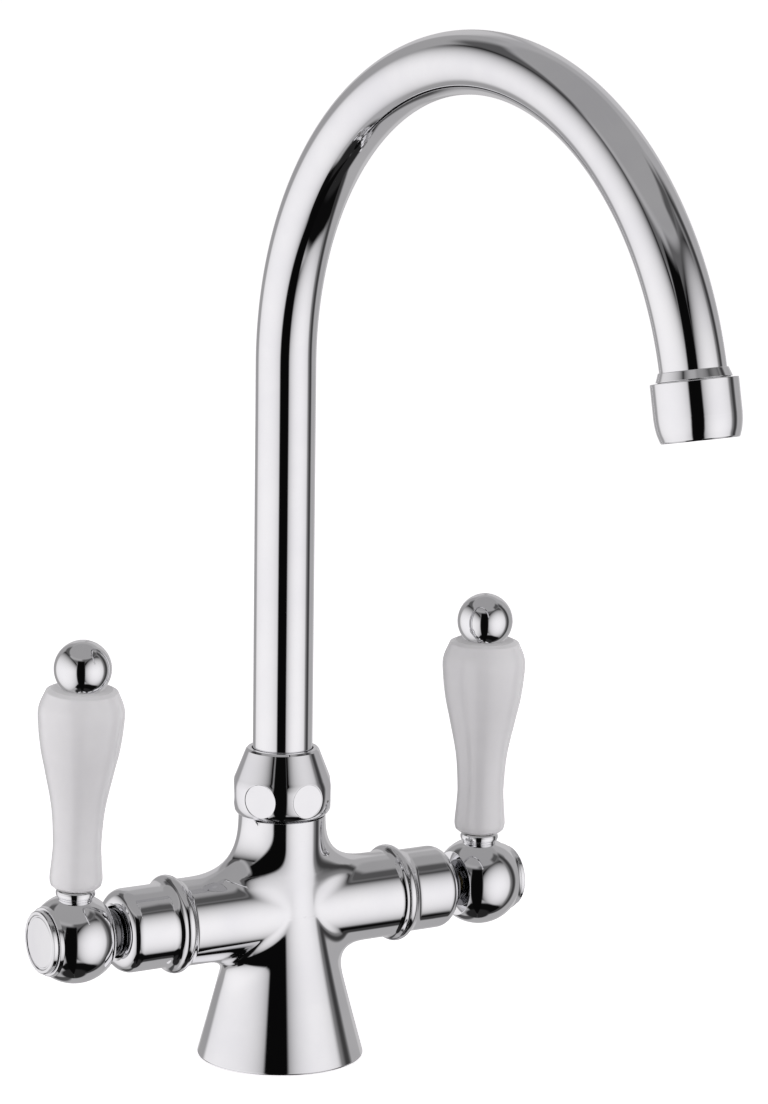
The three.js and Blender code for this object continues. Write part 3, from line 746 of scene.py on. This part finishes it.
makePiece(
    "spoutFerrule",
    turned(ferrule, outlet["ferruleRound"], outletPlace, outletAxis, closed=True),
    chrome, "spout", ["spout_ferrule"],
)
taper = flowLine(outlet["taper"], outlet["taperSteps"])[1:]
housing = np.concatenate([outlet["housing"], taper, outlet["mouth"]])
housing = softLine(housing, outlet["housingEdge"], closed=True)
makePiece(
    "aeratorHousing",
    turned(housing, outlet["housingRound"], outletPlace, outletAxis, closed=True),
    chrome, "spout", ["aerator_housing"],
)


# The aerator's face: a disc of rings and spokes whose depth is a smooth step of the distance to
# the nearest centre of a honeycomb of small wells.
def insertShape():
    rim, full = outlet["rim"], outlet["insertRadius"]
    radius = np.concatenate([np.linspace(0, full - rim, outlet["rings"]), [full]])
    turn = np.linspace(0, 2 * math.pi, outlet["spokes"], endpoint=False)
    x, y = radius[:, None] * np.cos(turn), radius[:, None] * np.sin(turn)
    pitch = outlet["wellPitch"]
    tall = pitch * math.sqrt(3)
    nearest = np.full(x.shape, np.inf)
    for shiftX, shiftY in ((0, 0), (pitch / 2, tall / 2)):
        cellX = (x - shiftX + pitch / 2) % pitch - pitch / 2
        cellY = (y - shiftY + tall / 2) % tall - tall / 2
        nearest = np.minimum(nearest, np.hypot(cellX, cellY))
    edge = outlet["wellEdge"]
    step = np.clip((outlet["wellRadius"] + edge - nearest) / (2 * edge), 0, 1)
    field = radius[:, None] < outlet["wellField"]
    depth = outlet["wellDepth"] * step * step * (3 - 2 * step) * field
    height = outlet["insertFace"] - depth
    height[-1] = outlet["insertFace"] - rim
    grid = np.stack([x, y, height], -1)
    back = np.array([[full], [0]])
    backHeight = outlet["insertBack"] + 0 * back * turn
    rear = np.stack([back * np.cos(turn), back * np.sin(turn), backHeight], -1)
    points = np.concatenate([grid, rear]).reshape(-1, 3)
    across = np.cross([0.0, 1.0, 0.0], outletAxis)
    across = across / np.linalg.norm(across)
    along = np.cross(outletAxis, across)
    place = np.stack([across, along, outletAxis])
    return points @ place + outletPlace, gridFaces(len(radius) + 2, len(turn))


makePiece(
    "aeratorInsert", insertShape(),
    finishes["white_nylon"], "spout", ["aerator_insert"],
)
print("spout made")

# The domed sleeve at the end of each arm, and the ribbed neck between it and the lever's hub.
shroud = {
    "radius": 15.45,
    "lip": 12.9,
    "barrelEnd": 57.5,
    "shoulderCentre": (9.95, 65.0),
    "shoulderRadius": 5.5,
    "shoulderEnd": 84,
    "inside": [[9.6, 70.1], [9.6, 68.6], [13.2, 63.8], [13.2, 47.8]],
    "topSteps": 20,
    "coveSteps": 18,
    "shoulderSteps": 22,
    "round": 144,
}
neck = {
    "edge": 0.12,
    "round": 96,
    "line": [[8.4, 60.0], [8.79, 60.2], [8.79, 69.4], [8.15, 69.75], [8.15, 70.45], [8.79, 70.8],
             [8.79, 71.4], [8.15, 71.75], [8.15, 72.25], [8.79, 72.6], [8.79, 73.1], [8.6, 73.42],
             [4.32, 73.42], [4.32, 73.32], [8.36, 73.32], [8.36, 60.0]],
}


# The sleeve's line: the bead's top from the parting, its cove, the barrel, a rounded shoulder
# and the inside. It's turned round the arms' axis.
def shroudShape(sign):
    start = armBead["parting"] + armBead["gap"]
    lean, length = beadCove(shroud["radius"], armBead["shroudCove"])
    centre = (shroud["radius"] + armBead["shroudCove"], armBead["centre"][1] + length)
    top = [armBead["centre"], armBead["radius"], beadParting(start), lean, shroud["topSteps"]]
    cove = arcLine(centre, armBead["shroudCove"], 180 + lean, 180, shroud["coveSteps"])[1:]
    shoulder = arcLine(
        shroud["shoulderCentre"], shroud["shoulderRadius"],
        0, shroud["shoulderEnd"], shroud["shoulderSteps"],
    )
    lip, barrel = [[shroud["lip"], start]], [[shroud["radius"], shroud["barrelEnd"]]]
    line = np.concatenate([lip, arcLine(*top), cove, barrel, shoulder, shroud["inside"]])
    line = softLine(line, armBead["edge"], closed=True, arcs=True)
    return turned(line, shroud["round"], (0, 0, armHeight), (sign, 0, 0), closed=True)


for sideName, sign in sides.items():
    makePiece(
        f"{sideName}_arm_shroud", shroudShape(sign),
        chrome, "mixer", [f"{sideName}_shroud"],
    )
    line = softLine(neck["line"], neck["edge"], closed=True)
    shape = turned(line, neck["round"], (0, 0, armHeight), (sign, 0, 0), closed=True)
    # The neck sleeve's dark metal is painted shade for the gap between shroud and hub.
    makePiece(f"{sideName}_neck_sleeve", shape, paintedShadeMetal, "mixer")
print("arms made")

# Hubs and index caps are turned round the arms' axis, the rest round the lever's own.
hub = {
    "radius": 16.5,
    "innerFlat": -11.2,
    "outerFlat": 10.4,
    "boss": [[12.75, 10.55], [12.5, 12.0], [0, 12.0]],
    "bore": [[0, -11.2], [4.2, -11.2]],
    "edge": 0.4,
    "ballSteps": 60,
    "round": 160,
}
indexCap = {
    "edge": 0.18,
    "round": 144,
    "line": [[0, 8.8], [8.9, 8.8], [8.9, 12.25], [11.5, 12.25], [11.5, 13.75], [11.1, 14.18],
             [10.1, 14.18], [9.75, 13.72], [9.35, 13.72], [9.0, 13.98], [0, 14.02]],
}
lever = {
    "rodRadius": 3.3,
    "baseRing": [[3.3, 15.3], [6.3, 15.3], [6.3, 15.75], [6.95, 16.25], [7.15, 16.8], [7.15, 17.5],
                 [6.9, 18.2], [6.4, 18.6], [3.3, 18.6]],
    "side": [[9.15, 20.4], [9.55, 23], [9.0, 30], [8.75, 36.5], [9.7, 49], [12.3, 62],
             [14.2, 70.8], [15.3, 79.5], [15.4, 86.2], [13.0, 92.5]],
    "foot": [[3.3, 19.4], [8.0, 19.4]],
    "top": [[11.0, 93.4], [3.3, 93.4]],
    "finialRadius": 10.4,
    "finialCentre": 100.7,
    "finialSeat": 93.72,
    "finialEdge": 0.3,
    "finialSteps": 56,
    "finialRound": 128,
    "sideSteps": 9,
    "handleEdge": 1.1,
    "handleEdgeSteps": 8,
    "handleRound": 128,
    "ringEdge": 0.2,
    "ringRound": 112,
}


# A ball between two flats, with a bore's floor towards the arm and a boss for the index cap.
def hubShape(sign):
    radius = hub["radius"]
    inner = math.degrees(math.asin(hub["innerFlat"] / radius))
    outer = math.degrees(math.asin(hub["outerFlat"] / radius))
    ball = arcLine((0, 0), radius, inner, outer, hub["ballSteps"])
    line = np.concatenate([hub["bore"], ball, hub["boss"]])
    line = softLine(line, hub["edge"], arcs=True)
    return turned(line, hub["round"], (sign * hubCentre, 0, armHeight), (sign, 0, 0))


# A flat disc in a raised rim, turned round the arms' axis.
def capShape(sign):
    line = softLine(indexCap["line"], indexCap["edge"])
    return turned(line, indexCap["round"], (sign * hubCentre, 0, armHeight), (sign, 0, 0))


# A ball from its seat on the handle to its top. The angle of the seat is the arcsine of its
# distance from the ball's centre over the ball's radius.
def finialShape(place, axis):
    seat, centre, radius = lever["finialSeat"], lever["finialCentre"], lever["finialRadius"]
    lowest = math.degrees(math.asin((seat - centre) / radius))
    ball = arcLine((0, centre), radius, lowest, 90, lever["finialSteps"])
    line = np.concatenate([[[0, seat], [lever["rodRadius"], seat]], ball])
    line = softLine(line, lever["finialEdge"], arcs=True)
    return turned(line, lever["finialRound"], place, axis)


# The handle's smooth side line between a flat foot and top, turned round the lever's axis.
def ceramicShape(place, axis):
    side = flowLine(lever["side"], lever["sideSteps"])
    line = np.concatenate([lever["foot"], side, lever["top"]])
    line = softLine(line, lever["handleEdge"], closed=True, steps=lever["handleEdgeSteps"])
    return turned(line, lever["handleRound"], place, axis, closed=True)


# The small ring that carries a handle: its own line turned round the lever's axis.
def baseRingShape(place, axis):
    line = softLine(lever["baseRing"], lever["ringEdge"], closed=True)
    return turned(line, lever["ringRound"], place, axis, closed=True)


# The handles, finials and rods stay out of the plating's mirror images, so that the tube keeps
# its long clear highlights.
for sideName, sign in sides.items():
    rider = f"{sideName}_lever"
    place = np.array([sign * hubCentre, 0, armHeight])
    axis = np.array([0, -math.sin(leverLean[sideName]), math.cos(leverLean[sideName])])
    made = {
        "hub_ball": (hubShape(sign), "lever_hub"),
        "index_disc": (capShape(sign), "index_cap"),
        "base_ring": (baseRingShape(place, axis), "lever_base_ring"),
        "finial_ball": (finialShape(place, axis), "lever_finial"),
    }
    for pieceName, (shape, node) in made.items():
        name = f"{sideName}_{pieceName}"
        piece = makePiece(name, shape, chrome, rider, [f"{sideName}_{node}"])
        piece.visible_glossy = pieceName != "finial_ball"
    handle = makePiece(
        f"{sideName}_ceramic_handle", ceramicShape(place, axis),
        finishes["glazed_handle"], rider, [f"{sideName}_ceramic_lever"],
    )
    handle.visible_glossy = False
    frame["nodes"][f"{sideName}_lever_rod"].visible_glossy = False
print("levers made")

# The photo's camera: its place in metres and the directions of the picture's right and down.
photoView = {
    "place": (-0.84695, -1.44697, 0.50409),
    "right": (0.85303, -0.52171, 0.01264),
    "down": (-0.08544, -0.16351, -0.98283),
    "sensor": 36.0,
    "lens": 152.29,
    "clip": (0.05, 60.0),
}


# The camera's axes are the picture's right, its up and the way back to the viewer.
def makeCamera():
    data = bpy.data.cameras.new("photoCamera")
    data.sensor_width = photoView["sensor"]
    data.lens = photoView["lens"]
    data.clip_start, data.clip_end = photoView["clip"]
    camera = bpy.data.objects.new("photoCamera", data)
    right, up = np.array(photoView["right"]), -np.array(photoView["down"])
    back = np.cross(right, up)
    turn = np.eye(4)
    turn[:3, :3] = np.stack([right, up, back], 1)
    turn[:3, 3] = photoView["place"]
    camera.matrix_world = Matrix(turn.tolist())
    bpy.context.scene.collection.objects.link(camera)
    bpy.context.scene.camera = camera


# The tent round the faucet, by direction. A card covers turns and rises in degrees, where turn
# counts from the camera, positive to its right. A panel is a flat screen that faces the faucet
# from a turn: its places are distances across and up it, in shares of its distance, and its glow
# falls with the square of both. Each card or panel replaces what lies under it.
studio = {
    "cameraTurn": math.degrees(math.atan2(-0.51482, 0.83731)),
    "tint": (1.0, 0.985, 1.0, 1.0),
    "surround": 0.42,
    "grazing": 0.02,             # least cosine that a panel's distances are divided by
    "panelEdge": 0.05,           # cosine at which a panel's plane ends
    "cards": [
        {"turn": (-181, 181), "rise": (50, 91), "soft": (3, 4), "glow": 0.35},
        {"turn": (-162, -128), "rise": (-60, 46), "soft": (4, 4), "glow": 0.36},
        {"turn": (-140, -78), "rise": (33, 49), "soft": (8, 3), "glow": 0.1},
        {"turn": (-82, 4), "rise": (31, 43), "soft": (8, 4), "glow": 0.14},
        {"turn": (0, 120), "rise": (33, 49), "soft": (8, 3), "glow": 0.12},
        {"turn": (64, 108), "rise": (48, 59), "soft": (9, 3), "glow": 0.09},
        {"turn": (94, 117), "rise": (-72, 46), "soft": (4, 2), "glow": 0.22},
        {"turn": (102, 115), "rise": (-72, 46), "soft": (5, 2), "glow": 0.05},
        {"turn": (-168, -142), "rise": (-74, -42), "soft": (5, 5), "glow": 0.08},
        {"turn": (-52, 104), "rise": (-91, -50), "soft": (8, 4), "glow": 0.004},
        {"turn": (-181, 181), "rise": (-91, -71), "soft": (3, 3), "glow": 0.02},
        {"facing": -78, "turn": (-1.2, 1.5), "rise": (-2.1, 0.98), "soft": (0.22, 0.12),
         "glow": 0.98, "centre": (0.0, -0.15), "fall": (0.14, 0.12, 0.8)},
        {"facing": 62, "turn": (-1.2, 0.6), "rise": (-1.3, 1.02), "soft": (0.12, 0.14),
         "glow": 0.98, "centre": (-0.1, -0.1), "fall": (0.5, 0.34, 0.72)},
        {"turn": (-20.5, 13), "rise": (-91, 41), "soft": (2.5, 3), "glow": 0.003},
        {"turn": (150, 176), "rise": (-35, 34), "soft": (3, 5), "glow": 0.56},
        {"turn": (-180, -160), "rise": (-35, 34), "soft": (3, 5), "glow": 0.56},
    ],
}


# The camera itself sees plain white, and everything else the tent.
def makeStudio():
    world = bpy.data.worlds.new("whiteTent")
    bpy.context.scene.world = world
    world.use_nodes = True
    tree = world.node_tree
    tree.nodes.clear()
    way = addNode(tree, "ShaderNodeTexCoord").outputs["Generated"]
    about = {"Vector": way, "Axis": (0, 0, 1), "Angle": math.radians(-studio["cameraTurn"])}
    fromCamera = addNode(tree, "ShaderNodeVectorRotate", {"rotation_type": "AXIS_ANGLE"}, about)
    split = addNode(tree, "ShaderNodeSeparateXYZ", None, {0: fromCamera.outputs[0]})
    x, y, z = split.outputs
    toDegrees = 180 / math.pi
    turn = maths(tree, "ARCTAN2", x, maths(tree, "MULTIPLY", y, -1.0))
    rise = maths(tree, "MULTIPLY", maths(tree, "ARCSINE", z), toDegrees)
    flat = maths(tree, "SQRT", maths(tree, "SUBTRACT", 1.0, maths(tree, "MULTIPLY", z, z)))
    light = addNode(tree, "ShaderNodeValue").outputs[0]
    light.default_value = studio["surround"]
    for card in studio["cards"]:
        mask = 1.0
        places = (maths(tree, "MULTIPLY", turn, toDegrees), rise)
        if "facing" in card:
            off = maths(tree, "SUBTRACT", turn, math.radians(card["facing"]))
            ahead = maths(tree, "MAXIMUM", maths(tree, "COSINE", off), studio["grazing"])
            mask = maths(tree, "GREATER_THAN", ahead, studio["panelEdge"])
            climb = maths(tree, "DIVIDE", z, maths(tree, "MULTIPLY", flat, ahead))
            places = (maths(tree, "DIVIDE", maths(tree, "SINE", off), ahead), climb)
        for place, (low, high), soft in zip(places, (card["turn"], card["rise"]), card["soft"]):
            opening = spread(tree, place, low - soft, low + soft, 0.0, 1.0, smooth=True)
            closing = spread(tree, place, high - soft, high + soft, 1.0, 0.0, smooth=True)
            mask = maths(tree, "MULTIPLY", mask, maths(tree, "MULTIPLY", opening, closing))
        glow = card["glow"]
        if "facing" in card:
            across = maths(tree, "SUBTRACT", places[0], card["centre"][0])
            up = maths(tree, "SUBTRACT", places[1], card["centre"][1])
            upper = maths(tree, "GREATER_THAN", up, 0.0)
            sideFall, lowerFall, upperFall = card["fall"]
            steep = maths(tree, "MULTIPLY", upper, upperFall - lowerFall)
            steep = maths(tree, "ADD", steep, lowerFall)
            loss = maths(tree, "MULTIPLY", maths(tree, "MULTIPLY", across, across), sideFall)
            upLoss = maths(tree, "MULTIPLY", maths(tree, "MULTIPLY", up, up), steep)
            kept = maths(tree, "SUBTRACT", 1.0, maths(tree, "ADD", loss, upLoss))
            glow = maths(tree, "MULTIPLY", maths(tree, "MAXIMUM", kept, 0.0), card["glow"])
        change = maths(tree, "MULTIPLY", mask, maths(tree, "SUBTRACT", glow, light))
        light = maths(tree, "ADD", light, change)
    seen = addNode(tree, "ShaderNodeLightPath").outputs["Is Camera Ray"]
    whiter = maths(tree, "MULTIPLY", seen, maths(tree, "SUBTRACT", 1.0, light))
    inputs = {"Color": studio["tint"], "Strength": maths(tree, "ADD", light, whiter)}
    background = addNode(tree, "ShaderNodeBackground", None, inputs)
    result = tree.nodes.new("ShaderNodeOutputWorld")
    tree.links.new(background.outputs[0], result.inputs["Surface"])


floor = {
    "radius": 9.0,
    "innerShare": 0.05,
    "round": 96,
    "drop": 0.0002,
    "paint": (0.92, 0.91, 0.92, 1),
    "paintWorn": (0.88, 0.87, 0.88, 1),
    "scales": {"Cloud Scale": 3.0, "Grain Scale": 60.0},
    "roughness": (0.7, 0.85),
    "glow": 0.72,
}


# A round pale floor. Its own glow is only for the camera, so that it fades into the white tent.
def makeFloor():
    turn = np.linspace(0, 2 * math.pi, floor["round"], endpoint=False)
    ring = np.stack([np.cos(turn), np.sin(turn), 0 * turn], -1) * floor["radius"]
    rings = np.concatenate([ring * 0, ring * floor["innerShare"], ring])
    points = rings - [0, 0, floor["drop"]]
    mesh = bpy.data.meshes.new("studioFloor")
    faces = gridFaces(3, len(turn))[:, ::-1]
    mesh.from_pydata(points.tolist(), [], faces.tolist())
    material, tree, shader, marks = startMaterial("palePaint", floor["scales"])
    colour = mixColours(tree, marks["Cloud"], floor["paint"], floor["paintWorn"])
    rough = spread(tree, marks["Grain"], 0, 1, *floor["roughness"])
    tree.links.new(colour, shader.inputs["Base Color"])
    tree.links.new(rough, shader.inputs["Roughness"])
    shader.inputs["Specular IOR Level"].default_value = 0.0
    shader.inputs["Emission Color"].default_value = studio["tint"]
    seen = addNode(tree, "ShaderNodeLightPath").outputs["Is Camera Ray"]
    tree.links.new(maths(tree, "MULTIPLY", seen, floor["glow"]), shader.inputs["Emission Strength"])
    mesh.materials.append(material)
    ground = bpy.data.objects.new("studioFloor", mesh)
    ground.visible_glossy = False
    bpy.context.scene.collection.objects.link(ground)


# Three broad soft lights that brighten what scatters light. The plating mirrors only the tent.
lamps = {
    "leftLamp": {"place": (-1.9, -0.2, 0.6), "size": 1.2, "power": 11.0},
    "rightLamp": {"place": (1.6, -0.9, 0.6), "size": 1.2, "power": 11.0},
    "upperLamp": {"place": (-0.5, -0.8, 1.7), "size": 1.2, "power": 3.0},
}
lampTarget = (0, 0, 0.14)


# Each lamp is a disc that faces the target.
def makeLamps():
    for name, values in lamps.items():
        data = bpy.data.lights.new(name, "AREA")
        data.shape = "DISK"
        data.size = values["size"]
        data.energy = values["power"]
        lamp = bpy.data.objects.new(name, data)
        back = np.array(values["place"]) - np.array(lampTarget)
        back = back / np.linalg.norm(back)
        across = np.cross([0, 0, 1.0], back)
        across = across / np.linalg.norm(across)
        turn = np.eye(4)
        turn[:3, :3] = np.stack([across, np.cross(back, across), back], 1)
        turn[:3, 3] = values["place"]
        lamp.matrix_world = Matrix(turn.tolist())
        lamp.visible_glossy = False
        lamp.visible_camera = False
        bpy.context.scene.collection.objects.link(lamp)


makeCamera()
makeStudio()
makeFloor()
makeLamps()
bpy.context.scene.view_settings.view_transform = "Standard"
bpy.context.scene.view_settings.look = "None"
print("studio made")
